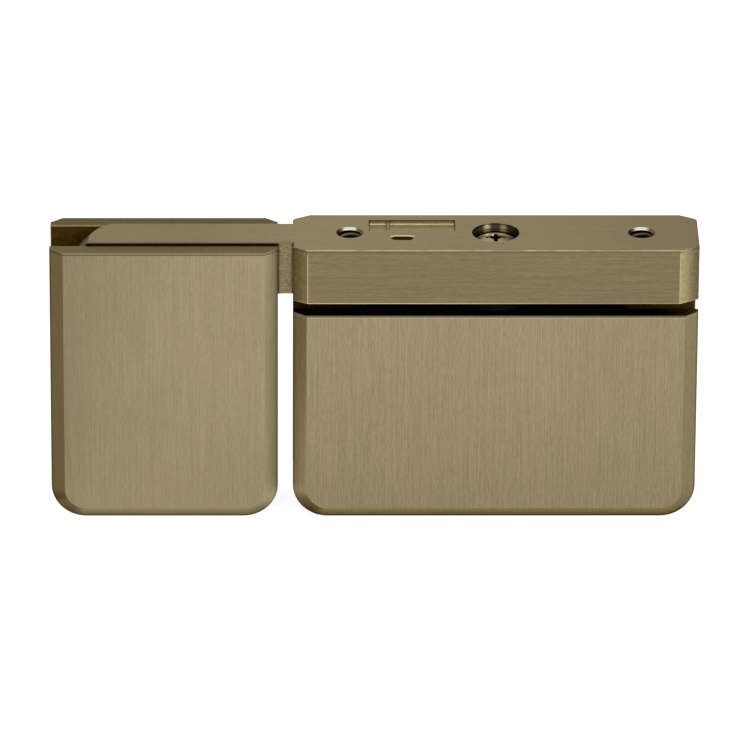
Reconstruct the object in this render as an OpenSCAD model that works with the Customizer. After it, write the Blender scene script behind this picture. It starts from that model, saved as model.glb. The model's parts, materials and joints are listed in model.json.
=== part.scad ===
// Pivot hinge for a frameless glass door, with a clamp for the fixed panel beside the door.
// The origin is on the pivot axis, in the bar's mounting face. +X runs along the bar to its
// free end, +Y runs back to the screw side and +Z points at the header. Millimetres.

/* [Bar] */
// Length of the bar
bar_len = 88.9; // [84:0.1:110]
// Height of the bar
bar_h = 12.7; // [12:0.1:16]
// Length of the bar's corner chamfers, along the bar
bar_corner_len = 4.3; // [2:0.1:6]
// Depth of the bar's corner chamfers, across the bar
bar_corner_depth = 2.6; // [1:0.1:3.4]
// Length of the smaller chamfer in front of the arm's root
arm_corner_len = 3.2; // [2:0.1:6]
// Break on the sharp edges of the castings
edge_break = 0.3; // [0.1:0.05:0.5]

/* [Arm] */
// Height of the arm
arm_h = 12.4; // [12:0.1:14]
// Distance from the arm's tip to the panel clamp's outer edge
arm_tip_inset = 6.5; // [2:0.1:10]
// Radius of the arm's rounded tip
arm_tip_r = 12.8; // [11:0.1:20]
// How far the tip's arc is centred in front of the arm's middle
arm_tip_offset = 4.1; // [0:0.1:5]
// Bevel round the top of the arm's tip
arm_tip_bevel = 2; // [0.4:0.1:2.6]

/* [Mounting holes] */
// Distance between the two threaded mounting holes
mount_spacing = 64; // [40:0.5:70]
// Core radius of the mounting thread
mount_thread_r = 2.5; // [2:0.05:3.3]
// Width of the bevel at a mounting hole's mouth
mount_mouth = 0.5; // [0.2:0.05:0.5]

/* [Marking recess] */
// Place of the recess along the bar
recess_x = -18.3; // [-20:0.1:-17]
// Length of the recess
recess_len = 19; // [12:0.1:20]
// Width of the recess
recess_w = 6; // [4:0.1:8]
// Place of the recess across the bar
recess_y = 3.8; // [0:0.1:4]
// Depth of the recess
recess_depth = 1; // [0.3:0.1:2]
// Distance of the divider from the recess's outer end
divider_at = 4.2; // [3:0.1:6]
// Thickness of the divider
divider_t = 0.5; // [0.3:0.1:1]
// Length of the round-ended slot in front of the recess
slot_mark_len = 4.9; // [3:0.1:8]
// Width of the round-ended slot
slot_mark_w = 2.1; // [1:0.1:2.4]
// Depth of the round-ended slot
slot_mark_depth = 1.2; // [0.3:0.1:1.5]
// Distance of the slot from the recess's middle, along the bar
slot_mark_shift = 2.2; // [0:0.1:4]
// Space between the recess and the small slot
slot_mark_gap = 2.8; // [0.5:0.1:4]

/* [Clamp plates] */
// Thickness of a clamp plate
plate_t = 4.4; // [3.8:0.1:6]
// Space between the two plates of a clamp
slot_w = 11; // [10:0.1:15]
// Width of the bevel round a plate's face
bevel_w = 3; // [1.5:0.1:4]
// Depth of the bevel round a plate's face
bevel_d = 2.6; // [1:0.1:3]
// Radius of a plate's lower corners
corner_r = 7.7; // [6:0.1:10]
// Space that a clamp keeps so that its screws pull on the glass
squeeze = 0.35; // [0.2:0.05:0.6]

/* [Door clamp] */
// Width of the door clamp
door_w = 88.9; // [84:0.1:110]
// Height of the door clamp
door_h = 49.5; // [46:0.5:60]
// Gap between the bar and the door clamp
door_gap = 3; // [2.6:0.1:4]

/* [Panel clamp] */
// Width of the panel clamp
panel_w = 50; // [46:0.5:70]
// Gap between the panel clamp and the bar
panel_gap = 3.3; // [2:0.1:6]
// Drop of the panel clamp's top below the mounting face
panel_drop = 0.7; // [0:0.1:2]
// Distance between the two screws through the arm
arm_screw_spacing = 20; // [18:0.5:22]
// Height of the glass screw above the clamp's lower edge
glass_screw_up = 22; // [14:0.5:26]

/* [Glass] */
// Thickness of the glass that the clamps hold
glass_t = 8; // [6:0.5:9]
// Inset of a gasket from its plate's edge
gasket_inset = 0.5; // [0.2:0.1:2]
// Drop of the door gaskets' upper ends below the clamp's top
gasket_drop = 5; // [0.5:0.5:8]
// Thickness of the sleeve in the panel's glass hole
sleeve_wall = 3; // [1.5:0.5:5]

/* [Pivot block] */
// Width of the block that fills the door's glass cut-out
block_w = 57.4; // [54:0.1:62]
// Height of the block
block_h = 32; // [31:0.5:36]
// Radius of the block's lower corners
block_corner_r = 5; // [2:0.5:5.5]
// Radius of the barrel round the pivot bore
barrel_r = 7.2; // [7:0.1:7.4]
// Space between the block and the glass or a gasket
cutout_play = 1.5; // [0.5:0.1:3]
// Distance of the clamp screws from the pivot axis
door_screw_x = 21.5; // [19:0.5:22]
// Distance of the clamp screws above and below the block's middle
door_screw_z = 10.5; // [9.5:0.5:11]

/* [Pivot pin] */
// Radius of the pivot pin
pin_r = 4; // [3.8:0.05:4.2]
// Radial running clearance of the pin in its bushes
pin_fit = 0.05; // [0.02:0.01:0.08]
// End play at each thrust face
end_play = 0.05; // [0.03:0.01:0.1]
// Depth of the four detent flats
flat_depth = 0.5; // [0.3:0.05:0.7]
// Thickness of the pin's thrust collar
collar_t = 1.6; // [1:0.1:1.8]
// Width of the pin's square key
key_w = 9; // [8:0.1:9.5]
// Height of the pin's square key
key_h = 3; // [2:0.1:3.5]
// Length of the pin below its ring
pin_tail = 1; // [0.8:0.1:1.5]
// Depth of the ring's groove
groove_depth = 0.8; // [0.5:0.05:1]
// Thickness of the retaining ring
ring_t = 1; // [0.8:0.1:1.2]

/* [Bushes] */
// Wall of a bush
bush_wall = 1; // [0.8:0.1:1.2]
// Length of the upper bush inside the block
upper_bush_len = 9; // [6:0.5:11]
// Length of the lower bush inside the block
lower_bush_len = 7; // [5:0.5:9]
// Thickness of the lower bush's flange
lower_flange_t = 1; // [0.8:0.1:1.5]

/* [Detents] */
// Radius of a detent plunger
plunger_r = 3; // [2.6:0.1:3.1]
// Length of a detent plunger's head
plunger_len = 9; // [7:0.5:11]
// Length of the stem that guides the spring
stem_len = 3; // [2:0.5:4]
// Radius of the spring's wire
wire_r = 0.4; // [0.3:0.05:0.5]
// Number of turns in a spring
spring_turns = 6; // [5:1:7]
// Radius of an adjusting screw
adjuster_r = 3.5; // [3.3:0.1:3.8]
// Length of an adjusting screw
adjuster_len = 7; // [6:0.5:8]

/* [Screws] */
// Core radius of the clamp screws
screw_r = 2.05; // [1.8:0.05:2.3]
// Radius of a countersunk head
csk_r = 4.8; // [4.2:0.1:5]
// Length of a clamp screw
screw_len = 12; // [11:0.5:14]
// Radius of the threaded bosses of the panel clamp
boss_r = 4; // [3.6:0.1:4.2]
// Radius of the pivot screw's head
pan_r = 4.5; // [4:0.1:4.7]
// Height of the pivot screw's head
pan_h = 3.5; // [3:0.1:3.8]
// Length of the pivot screw below its head
pivot_screw_len = 14; // [12:0.5:16]
// Thickness of the lock washer
washer_t = 1.2; // [1:0.1:1.4]
// Depth of the pivot screw's head below the mounting face
head_sink = 0.9; // [0.8:0.1:1.6]
// Radius of the counterbore for the pivot screw
cbore_r = 5.2; // [4.8:0.1:5.5]

/* [Hidden] */

$fn = 64;
satin_brass = [0.60, 0.55, 0.42];
steel = [0.62, 0.63, 0.64];
nylon = [0.14, 0.14, 0.14];
gasket_black = [0.10, 0.10, 0.10];

// Fits and allowances
thread_fit = 0.05;      // a screw's core to its threaded hole
slide_fit = 0.05;       // a plunger to its bore, the key to its recess
hole_play = 0.6;        // a screw's core to a plain hole
part_play = 0.3;        // castings of one clamp, where they pass each other
overrun = 1;            // cutters run past the faces that they cut
detent_margin = 0.5;    // a detent flat reaches past its plunger, above and below
socket_r = 1.75;        // corners of a clamp screw's hexagon socket
tap_run = 2;            // threaded holes run on past their screws

// Levels and faces
half_slot = slot_w / 2;
half_depth = half_slot + plate_t;
door_top = -bar_h - door_gap;
base_z = door_top - door_h;
panel_top = -panel_drop;
panel_h = panel_top - base_z;
panel_x = -(max(bar_len, door_w) + panel_w) / 2 - panel_gap;
arm_half_w = half_slot - squeeze;
arm_tip_x = panel_x - panel_w / 2 + arm_tip_inset;
gasket_t = (slot_w - glass_t) / 2;

// Screws through the clamps
tap_r = screw_r + thread_fit;
screw_hole_r = screw_r + hole_play;
screw_end = half_depth - screw_len;
boss_end = screw_end + screw_len / 3;
arm_screw_z = -arm_h / 2;
glass_screw_z = base_z + glass_screw_up;
arm_screw_xs = [for (side = [-1, 1]) panel_x + side * arm_screw_spacing / 2];
sleeve_r = boss_r + slide_fit + sleeve_wall;

// Pivot screw and pin, from the top down
pan_seat = -head_sink - pan_h;
cbore_depth = head_sink + pan_h + washer_t;
upper_flange_t = door_gap - collar_t - end_play;
collar_r = barrel_r - edge_break;
block_bottom = door_top - block_h;
block_mid = door_top - block_h / 2;
pin_bottom = block_bottom + edge_break;
ring_z = pin_bottom + pin_tail;
flange_z = ring_z + ring_t + end_play;
bush_seat = flange_z + lower_flange_t;
bush_r = pin_r + bush_wall;
ring_seat_r = bush_r + bush_wall;
detent_h = 2 * (plunger_r + detent_margin);

// Detents, from the pin outwards
plunger_x = pin_r + slide_fit;
spring_x = plunger_x + plunger_len;
adjuster_x = block_w / 2 - edge_break - adjuster_len;
spring_len = adjuster_x - spring_x;
coil_r = plunger_r - wire_r - 2 * slide_fit;

// ---- Shapes that repeat ----

// Moves a shape to both sides of the pivot axis
module both_sides(x) {
    for (side = [-1, 1])
        translate([side * x, 0, 0]) children();
}

// Turns a plate or gasket, drawn behind the slot, to the front of it
module to_front() {
    rotate([0, 0, 180]) children();
}

// Cylinder along Y, from one face to another
module along_y(y0, y1, r, r_end = 0) {
    translate([0, y0, 0])
        rotate([-90, 0, 0]) cylinder(h = y1 - y0, r1 = r, r2 = r_end > 0 ? r_end : r);
}

// Cylinder along X, from one face to another
module along_x(x0, x1, r) {
    translate([x0, 0, 0]) rotate([0, 90, 0]) cylinder(h = x1 - x0, r = r);
}

// Rim of a plate, from its back edge round to its face, at a reach from the middle
function rim(reach) = [
    [reach - edge_break, 0],
    [reach, edge_break],
    [reach, plate_t - bevel_d],
    [reach - bevel_w, plate_t]
];

// The same points mirrored to the other side, in the order that closes an outline
function mirrored(points) = [for (i = [len(points) - 1:-1:0]) [-points[i][0], points[i][1]]];

// Upright slab of a plate: flush at its top, bevelled at its foot
module upright_slab(width, height) {
    head = [
        [plate_t, -edge_break], [plate_t - edge_break, 0], [edge_break, 0], [0, -edge_break]
    ];
    foot = [for (p = rim(height)) [p[1], -p[0]]];
    translate([-width / 2, 0, 0]) rotate([90, 0, 90])
        linear_extrude(width) polygon(concat(head, foot));
}

// Clamp plate: flat back at y = 0, top at z = 0, face bevelled at both sides and the foot
module clamp_plate(width, height) {
    intersection() {
        translate([0, 0, corner_r - height]) linear_extrude(height - corner_r)
            polygon(concat(rim(width / 2), mirrored(rim(width / 2))));
        upright_slab(width, height);
    }
    upright_slab(width - 2 * corner_r, height);
    both_sides(width / 2 - corner_r)
        translate([0, 0, corner_r - height]) rotate([-90, 0, 0]) rotate_extrude()
            polygon(concat([[0, 0]], rim(corner_r), [[0, plate_t]]));
}

// Outline with round lower corners, hanging from its top edge
module hanging_outline(width, height, r) {
    translate([-width / 2, r - height]) square([width, height - r]);
    translate([r - width / 2, -height]) square([width - 2 * r, height]);
    both_sides(width / 2 - r) translate([0, r - height]) circle(r);
}

// Sheet behind the slot's middle plane, from y0 to y1, cut to a hanging outline
module hanging_sheet(width, height, r, y0, y1) {
    translate([0, y1, 0]) rotate([90, 0, 0]) linear_extrude(y1 - y0)
        hanging_outline(width, height, r);
}

// Countersunk clamp screw, head flush with a rear plate's face
module clamp_screw() {
    head_h = csk_r - screw_r;
    difference() {
        union() {
            along_y(half_depth - head_h - edge_break, half_depth - edge_break, screw_r, csk_r);
            along_y(screw_end, half_depth - head_h, screw_r);
        }
        translate([0, half_depth - head_h, 0]) rotate([-90, 0, 0])
            cylinder(h = head_h, r = socket_r, $fn = 6);
    }
}

// Hole for a clamp screw through a rear plate, with its countersink
module clamp_screw_hole() {
    cone_h = csk_r - screw_r + edge_break + thread_fit;
    along_y(half_slot - overrun, half_depth + overrun, screw_hole_r);
    along_y(half_depth + thread_fit - cone_h, half_depth + thread_fit, tap_r, tap_r + cone_h);
}

// Threaded hole that takes the end of a clamp screw, from a mouth at y
module clamp_tap(y) {
    along_y(screw_end - tap_run, y + overrun, tap_r);
}

// Places of the four screws in the pivot block
module at_door_screws() {
    for (x = [-door_screw_x, door_screw_x], z = [-door_screw_z, door_screw_z])
        translate([x, 0, block_mid + z]) children();
}

// Places of the two screws through the arm
module at_arm_screws() {
    for (x = arm_screw_xs)
        translate([x, 0, arm_screw_z]) children();
}

// ---- Bar and pivot ----

// Bar with chamfered corners and broken edges round its mounting face
module bar_body() {
    x = bar_len / 2;
    y = half_depth;
    cx = x - bar_corner_len;
    cy = y - bar_corner_depth;
    ax = x - arm_corner_len;
    ay = y - bar_corner_depth * arm_corner_len / bar_corner_len;
    intersection() {
        translate([0, 0, -bar_h]) linear_extrude(bar_h)
            polygon([
                [cx, -y], [x, -cy], [x, cy], [cx, y], [-cx, y], [-x, cy], [-x, -ay], [-ax, -y]
            ]);
        translate([-x, 0, 0]) rotate([90, 0, 90]) linear_extrude(2 * x) eased_section(y, bar_h);
        translate([0, y, 0]) rotate([90, 0, 0]) linear_extrude(2 * y) eased_section(x, bar_h);
    }
}

// Section of a bar with its two upper edges broken
module eased_section(half_w, height) {
    polygon([
        [half_w, -height], [half_w, -edge_break], [half_w - edge_break, 0],
        [edge_break - half_w, 0], [-half_w, -edge_break], [-half_w, -height]
    ]);
}

// Arm from the bar to its rounded tip, pierced for the panel clamp's bosses
module arm() {
    tip_x = arm_tip_x + arm_tip_r;
    difference() {
        translate([arm_tip_x, 0, 0]) rotate([90, 0, 90])
            linear_extrude(-bar_len / 2 + bar_corner_len - arm_tip_x)
                eased_section(arm_half_w, arm_h);
        difference() {
            translate([arm_tip_x - overrun, -half_slot, -arm_h - overrun])
                cube([arm_tip_r + overrun, slot_w, arm_h + 2 * overrun]);
            translate([tip_x, -arm_tip_offset, 0]) {
                translate([0, 0, -arm_h - 2 * overrun])
                    cylinder(h = arm_h + 2 * overrun - arm_tip_bevel, r = arm_tip_r, $fn = 128);
                translate([0, 0, -arm_tip_bevel])
                    cylinder(h = arm_tip_bevel, r1 = arm_tip_r, r2 = arm_tip_r - arm_tip_bevel,
                        $fn = 128);
            }
        }
        at_arm_screws() along_y(-half_slot, half_slot, boss_r + part_play);
    }
}

// Sunk marking field with its divider, and the round-ended slot in front of it
module marking_cuts() {
    x0 = recess_x - recess_len / 2;
    y0 = recess_y - recess_w / 2;
    difference() {
        translate([x0, y0, -recess_depth]) cube([recess_len, recess_w, recess_depth + overrun]);
        translate([x0 + divider_at - divider_t / 2, y0 - overrun, -recess_depth - overrun])
            cube([divider_t, recess_w + 2 * overrun, recess_depth + overrun - edge_break]);
    }
    slot_half = (slot_mark_len - slot_mark_w) / 2;
    translate([recess_x - slot_mark_shift, y0 - slot_mark_gap - slot_mark_w / 2, -slot_mark_depth]) {
        both_sides(slot_half) cylinder(h = slot_mark_depth + overrun, r = slot_mark_w / 2);
        translate([-slot_half, -slot_mark_w / 2, 0])
            cube([2 * slot_half, slot_mark_w, slot_mark_depth + overrun]);
    }
}

// Threaded mounting hole through the bar, bevelled at its mouth
module mounting_hole() {
    translate([0, 0, -bar_h - overrun])
        cylinder(h = bar_h + 2 * overrun, r = mount_thread_r);
    translate([0, 0, -mount_mouth])
        cylinder(h = 2 * mount_mouth, r1 = mount_thread_r, r2 = mount_thread_r + 2 * mount_mouth);
}

module mounting_bar() color(satin_brass) {
    key_gap = key_w + 2 * slide_fit;
    difference() {
        union() {
            bar_body();
            arm();
        }
        both_sides(mount_spacing / 2) mounting_hole();
        translate([0, 0, -cbore_depth]) cylinder(h = cbore_depth + overrun, r = cbore_r);
        translate([0, 0, -bar_h]) cylinder(h = bar_h, r = screw_r + hole_play);
        translate([-key_gap / 2, -key_gap / 2, -bar_h - overrun])
            cube([key_gap, key_gap, key_h + slide_fit + overrun]);
        marking_cuts();
    }
}

// Domed head with a cross recess, and the screw's core
module pivot_screw() color(satin_brass) {
    rise = pan_h / 3;
    dome_r = (pan_r * pan_r + rise * rise) / (2 * rise);
    blade_l = pan_r;
    blade_t = pan_r / 5;
    recess = 0.6 * pan_h;
    translate([0, 0, pan_seat]) difference() {
        union() {
            cylinder(h = pan_h - rise, r = pan_r);
            intersection() {
                cylinder(h = pan_h, r = pan_r);
                translate([0, 0, pan_h - dome_r]) sphere(dome_r, $fn = 96);
            }
            translate([0, 0, -pivot_screw_len]) cylinder(h = pivot_screw_len + rise, r = screw_r);
        }
        for (turn = [0, 90]) rotate([0, 0, turn])
            translate([-blade_l / 2, -blade_t / 2, pan_h - recess])
                cube([blade_l, blade_t, pan_h]);
        translate([0, 0, pan_h - recess - blade_t])
            cylinder(h = recess + 2 * blade_t, r1 = blade_t / 2, r2 = blade_l / 2.6);
    }
}

// Split ring under the pivot screw's head
module lock_washer() color(steel) {
    translate([0, 0, pan_seat - washer_t]) rotate([0, 0, 100]) rotate_extrude(angle = 345)
        translate([screw_r + hole_play, 0])
            square([pan_r - screw_r - hole_play, washer_t]);
}

// Round pin with a square key, a thrust collar, four detent flats and a ring groove
module pivot_pin() color(steel) {
    flat_at = pin_r - flat_depth;
    difference() {
        union() {
            translate([-key_w / 2, -key_w / 2, -bar_h]) cube([key_w, key_w, key_h]);
            translate([0, 0, -bar_h - collar_t]) cylinder(h = collar_t, r = collar_r);
            translate([0, 0, pin_bottom]) cylinder(h = -bar_h - pin_bottom, r = pin_r);
        }
        for (turn = [0:90:270]) rotate([0, 0, turn])
            translate([flat_at, -pin_r, block_mid - detent_h / 2])
                cube([pin_r, 2 * pin_r, detent_h]);
        translate([0, 0, ring_z - thread_fit]) difference() {
            cylinder(h = ring_t + thread_fit, r = pin_r + overrun);
            translate([0, 0, -overrun])
                cylinder(h = ring_t + 3 * overrun, r = pin_r - groove_depth);
        }
        translate([0, 0, pan_seat - pivot_screw_len - tap_run])
            cylinder(h = pivot_screw_len + tap_run, r = tap_r);
    }
}

// Open ring with two drilled ears, sprung into the pin's groove
module retaining_ring() color(steel) {
    r0 = pin_r - groove_depth + thread_fit;
    r1 = bush_r + thread_fit;
    ear_r = 0.9;
    ear_x = r1 - ear_r;
    translate([0, 0, ring_z]) linear_extrude(ring_t) difference() {
        union() {
            circle(r1);
            for (side = [-1, 1]) translate([ear_x, side * 1.6 * ear_r]) circle(ear_r);
        }
        circle(r0);
        translate([0, -ear_r]) square([2 * r1, 2 * ear_r]);
        for (side = [-1, 1]) translate([ear_x, side * 1.6 * ear_r]) circle(ear_r / 2);
    }
}

// ---- Panel clamp ----

module panel_front_plate() color(satin_brass) {
    difference() {
        union() {
            translate([panel_x, -half_slot, panel_top]) to_front() clamp_plate(panel_w, panel_h);
            at_arm_screws() along_y(-half_slot - overrun, boss_end, boss_r);
            translate([panel_x, 0, glass_screw_z])
                along_y(-half_slot - overrun, boss_end, boss_r);
        }
        at_arm_screws() clamp_tap(boss_end);
        translate([panel_x, 0, glass_screw_z]) clamp_tap(boss_end);
    }
}

module panel_rear_plate() color(satin_brass) {
    difference() {
        translate([panel_x, half_slot, panel_top]) clamp_plate(panel_w, panel_h);
        at_arm_screws() clamp_screw_hole();
        translate([panel_x, 0, glass_screw_z]) clamp_screw_hole();
    }
}

// Gasket between a panel plate and the glass, with a hole for the boss or the screw
module panel_gasket(y0, hole_r) {
    top = -arm_h - gasket_inset;
    foot = base_z + gasket_inset;
    translate([panel_x, 0, 0]) difference() {
        translate([0, 0, top])
            hanging_sheet(panel_w - 2 * gasket_inset, top - foot, corner_r - gasket_inset,
                y0, y0 + gasket_t);
        translate([0, 0, glass_screw_z])
            along_y(y0 - overrun, y0 + gasket_t + overrun, hole_r);
    }
}

module panel_front_gasket() color(gasket_black) panel_gasket(-half_slot, boss_r + slide_fit);

module panel_rear_gasket() color(gasket_black) panel_gasket(glass_t / 2, screw_hole_r);

module arm_screws() color(steel) at_arm_screws() clamp_screw();

module glass_screw() color(steel) translate([panel_x, 0, glass_screw_z]) clamp_screw();

// Nylon sleeve that keeps the glass hole off the boss
module glass_hole_sleeve() color(nylon) translate([panel_x, 0, glass_screw_z]) difference() {
    along_y(-glass_t / 2, glass_t / 2, sleeve_r);
    along_y(-glass_t / 2 - overrun, glass_t / 2 + overrun, boss_r + slide_fit);
}

// ---- Door clamp ----

// Block with its pivot barrel, cast on the back of the front plate
module pivot_block() {
    translate([0, 0, door_top])
        hanging_sheet(block_w, block_h, block_corner_r, -half_slot - overrun, arm_half_w);
    translate([0, 0, block_bottom]) cylinder(h = block_h, r = barrel_r);
}

module door_front_plate() color(satin_brass) {
    difference() {
        union() {
            translate([0, -half_slot, door_top]) to_front() clamp_plate(door_w, door_h);
            pivot_block();
        }
        translate([0, 0, block_bottom - overrun]) cylinder(h = block_h + 2 * overrun, r = bush_r);
        translate([0, 0, block_bottom - overrun])
            cylinder(h = bush_seat - block_bottom + overrun, r = ring_seat_r);
        translate([0, 0, block_mid]) {
            along_x(-adjuster_x, adjuster_x, plunger_r + slide_fit);
            for (side = [0, 180]) rotate([0, 0, side])
                along_x(adjuster_x, block_w / 2 + overrun, adjuster_r + thread_fit);
        }
        at_door_screws() clamp_tap(arm_half_w);
    }
}

module door_rear_plate() color(satin_brass) {
    relief_r = barrel_r + part_play;
    difference() {
        translate([0, half_slot, door_top]) clamp_plate(door_w, door_h);
        translate([0, 0, block_bottom - part_play])
            cylinder(h = block_h + part_play + overrun, r = relief_r);
        at_door_screws() clamp_screw_hole();
    }
}

// Gasket between a door plate and the glass, cut out round the pivot block
module door_gasket(y0) {
    height = door_h - gasket_drop - gasket_inset;
    difference() {
        translate([0, 0, door_top - gasket_drop])
            hanging_sheet(door_w - 2 * gasket_inset, height, corner_r - gasket_inset,
                y0, y0 + gasket_t);
        translate([0, 0, door_top + overrun])
            hanging_sheet(block_w + 2 * cutout_play, block_h + cutout_play + overrun,
                block_corner_r + cutout_play, y0 - overrun, y0 + gasket_t + overrun);
    }
}

module door_front_gasket() color(gasket_black) door_gasket(-half_slot);

module door_rear_gasket() color(gasket_black) door_gasket(glass_t / 2);

module door_screws() color(steel) at_door_screws() clamp_screw();

// ---- Bearings ----

module upper_bush() color(nylon) difference() {
    union() {
        translate([0, 0, door_top - upper_bush_len])
            cylinder(h = upper_bush_len + upper_flange_t, r = bush_r);
        translate([0, 0, door_top]) cylinder(h = upper_flange_t, r = collar_r);
    }
    translate([0, 0, door_top - upper_bush_len - overrun])
        cylinder(h = upper_bush_len + upper_flange_t + 2 * overrun, r = pin_r + pin_fit);
}

module lower_bush() color(nylon) difference() {
    union() {
        translate([0, 0, bush_seat]) cylinder(h = lower_bush_len, r = bush_r);
        translate([0, 0, flange_z]) cylinder(h = lower_flange_t, r = ring_seat_r - thread_fit);
    }
    translate([0, 0, flange_z - overrun])
        cylinder(h = lower_bush_len + lower_flange_t + 2 * overrun, r = pin_r + pin_fit);
}

// ---- Detents, drawn on the +X side of the pivot axis ----

// Turned plunger with a bevelled nose and a stem inside its spring
module plunger() {
    stem_r = coil_r - 2 * wire_r;
    translate([plunger_x, 0, block_mid]) rotate([0, 90, 0]) rotate_extrude()
        polygon([
            [0, 0], [plunger_r - edge_break, 0], [plunger_r, edge_break],
            [plunger_r, plunger_len], [stem_r, plunger_len],
            [stem_r, plunger_len + stem_len], [0, plunger_len + stem_len]
        ]);
}

// Place along a spring after some turns: the end turns lie close, the others are open
function coil_rise(turns) =
    let (pitch = (spring_len - 6 * wire_r) / (spring_turns - 2))
    wire_r + 2 * wire_r * min(turns, 1) + pitch * max(0, min(turns, spring_turns - 1) - 1)
        + 2 * wire_r * max(0, turns - spring_turns + 1);

// Compression spring swept as one closed tube along its helix
module spring() {
    sides = 8;
    steps = 16;
    rings = spring_turns * steps;
    points = [
        for (i = [0:rings], j = [0:sides - 1])
            let (
                turn = 360 * i / steps,
                r = coil_r + wire_r * cos(360 * j / sides),
                x = coil_rise(i / steps) + wire_r * sin(360 * j / sides)
            )
            [x, r * cos(turn), r * sin(turn)]
    ];
    walls = [
        for (i = [0:rings - 1], j = [0:sides - 1])
            let (a = i * sides + j, b = i * sides + (j + 1) % sides)
            [a, b, b + sides, a + sides]
    ];
    first = [for (j = [sides - 1:-1:0]) j];
    last = [for (j = [0:sides - 1]) rings * sides + j];
    translate([spring_x, 0, block_mid]) polyhedron(points, concat([first, last], walls));
}

// Hollow hexagon adjusting screw that closes the detent's bore
module adjuster() {
    translate([adjuster_x, 0, block_mid]) difference() {
        along_x(0, adjuster_len, adjuster_r);
        translate([adjuster_len / 2, 0, 0]) rotate([0, 90, 0])
            cylinder(h = adjuster_len, r = adjuster_r / 2, $fn = 6);
    }
}

module plunger_left() color(steel) rotate([0, 0, 180]) plunger();

module plunger_right() color(steel) plunger();

module spring_left() color(steel) rotate([0, 0, 180]) spring();

module spring_right() color(steel) spring();

module adjuster_left() color(steel) rotate([0, 0, 180]) adjuster();

module adjuster_right() color(steel) adjuster();

mounting_bar();
pivot_screw();
lock_washer();
pivot_pin();
retaining_ring();
panel_front_plate();
panel_rear_plate();
panel_front_gasket();
panel_rear_gasket();
arm_screws();
glass_screw();
glass_hole_sleeve();
door_front_plate();
door_rear_plate();
door_front_gasket();
door_rear_gasket();
door_screws();
upper_bush();
lower_bush();
plunger_left();
plunger_right();
spring_left();
spring_right();
adjuster_left();
adjuster_right();
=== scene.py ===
"""Looks of the pivot hinge: its finishes, the thread crests in the bar and a plain studio.

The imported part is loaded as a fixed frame, in metres. Its origin is on the pivot axis, in the
bar's mounting face. +X runs along the bar, +Y back to the screw side and +Z up to the header.
"""

import json
import logging
import math
from dataclasses import dataclass, field
from enum import Enum
from functools import reduce
from typing import ClassVar, Optional, Union

import bmesh
import bpy
from mathutils import Euler, Matrix, Vector


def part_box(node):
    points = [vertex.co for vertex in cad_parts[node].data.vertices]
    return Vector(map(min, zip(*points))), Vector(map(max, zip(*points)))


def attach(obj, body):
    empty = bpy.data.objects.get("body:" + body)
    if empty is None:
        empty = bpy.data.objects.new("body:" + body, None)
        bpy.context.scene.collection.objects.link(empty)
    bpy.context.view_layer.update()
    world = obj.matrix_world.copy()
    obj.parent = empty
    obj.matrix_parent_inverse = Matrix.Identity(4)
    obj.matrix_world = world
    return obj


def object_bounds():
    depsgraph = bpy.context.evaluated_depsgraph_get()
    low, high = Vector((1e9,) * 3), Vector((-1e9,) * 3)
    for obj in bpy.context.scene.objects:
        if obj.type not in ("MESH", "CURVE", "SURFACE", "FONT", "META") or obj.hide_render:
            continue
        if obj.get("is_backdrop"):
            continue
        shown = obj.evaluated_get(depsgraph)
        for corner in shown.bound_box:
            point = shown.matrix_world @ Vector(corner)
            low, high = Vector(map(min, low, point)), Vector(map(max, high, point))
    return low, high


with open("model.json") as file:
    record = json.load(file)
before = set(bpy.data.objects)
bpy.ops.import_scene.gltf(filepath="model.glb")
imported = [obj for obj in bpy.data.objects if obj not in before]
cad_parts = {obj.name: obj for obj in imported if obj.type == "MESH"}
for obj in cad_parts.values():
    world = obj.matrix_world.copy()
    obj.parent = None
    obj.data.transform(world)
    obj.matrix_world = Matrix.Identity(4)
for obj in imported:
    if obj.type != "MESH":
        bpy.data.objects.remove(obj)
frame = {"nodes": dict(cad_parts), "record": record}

LOG = logging.getLogger("pivot_hinge")
MM = 0.001
MOUTH_RUN = 0.5 * MM

Colour = tuple[float, float, float]
Triple = tuple[float, float, float]
Socket = bpy.types.NodeSocket
Value = Union[float, Colour, Socket]
Span = tuple[float, float]

WHITE: Colour = (1.0, 1.0, 1.0)
# Painted shade for the insides of holes and recesses.
PAINTED_DEEP_SHADE: Colour = (0.010, 0.007, 0.003)


def scaled(colour: Colour, gain: float) -> Colour:
    """A colour made lighter or darker, up to white."""
    return tuple(min(1.0, gain * part) for part in colour)


# ---- Node graphs ----


class Axis(Enum):
    """The way a grain or a face runs, as the index of a coordinate."""

    X = 0
    Y = 1
    Z = 2


def drawn(across: float, along: float, axis: Axis) -> Triple:
    """Scales for noise that differs along one axis."""
    return tuple(along if other is axis else across for other in Axis)


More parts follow.
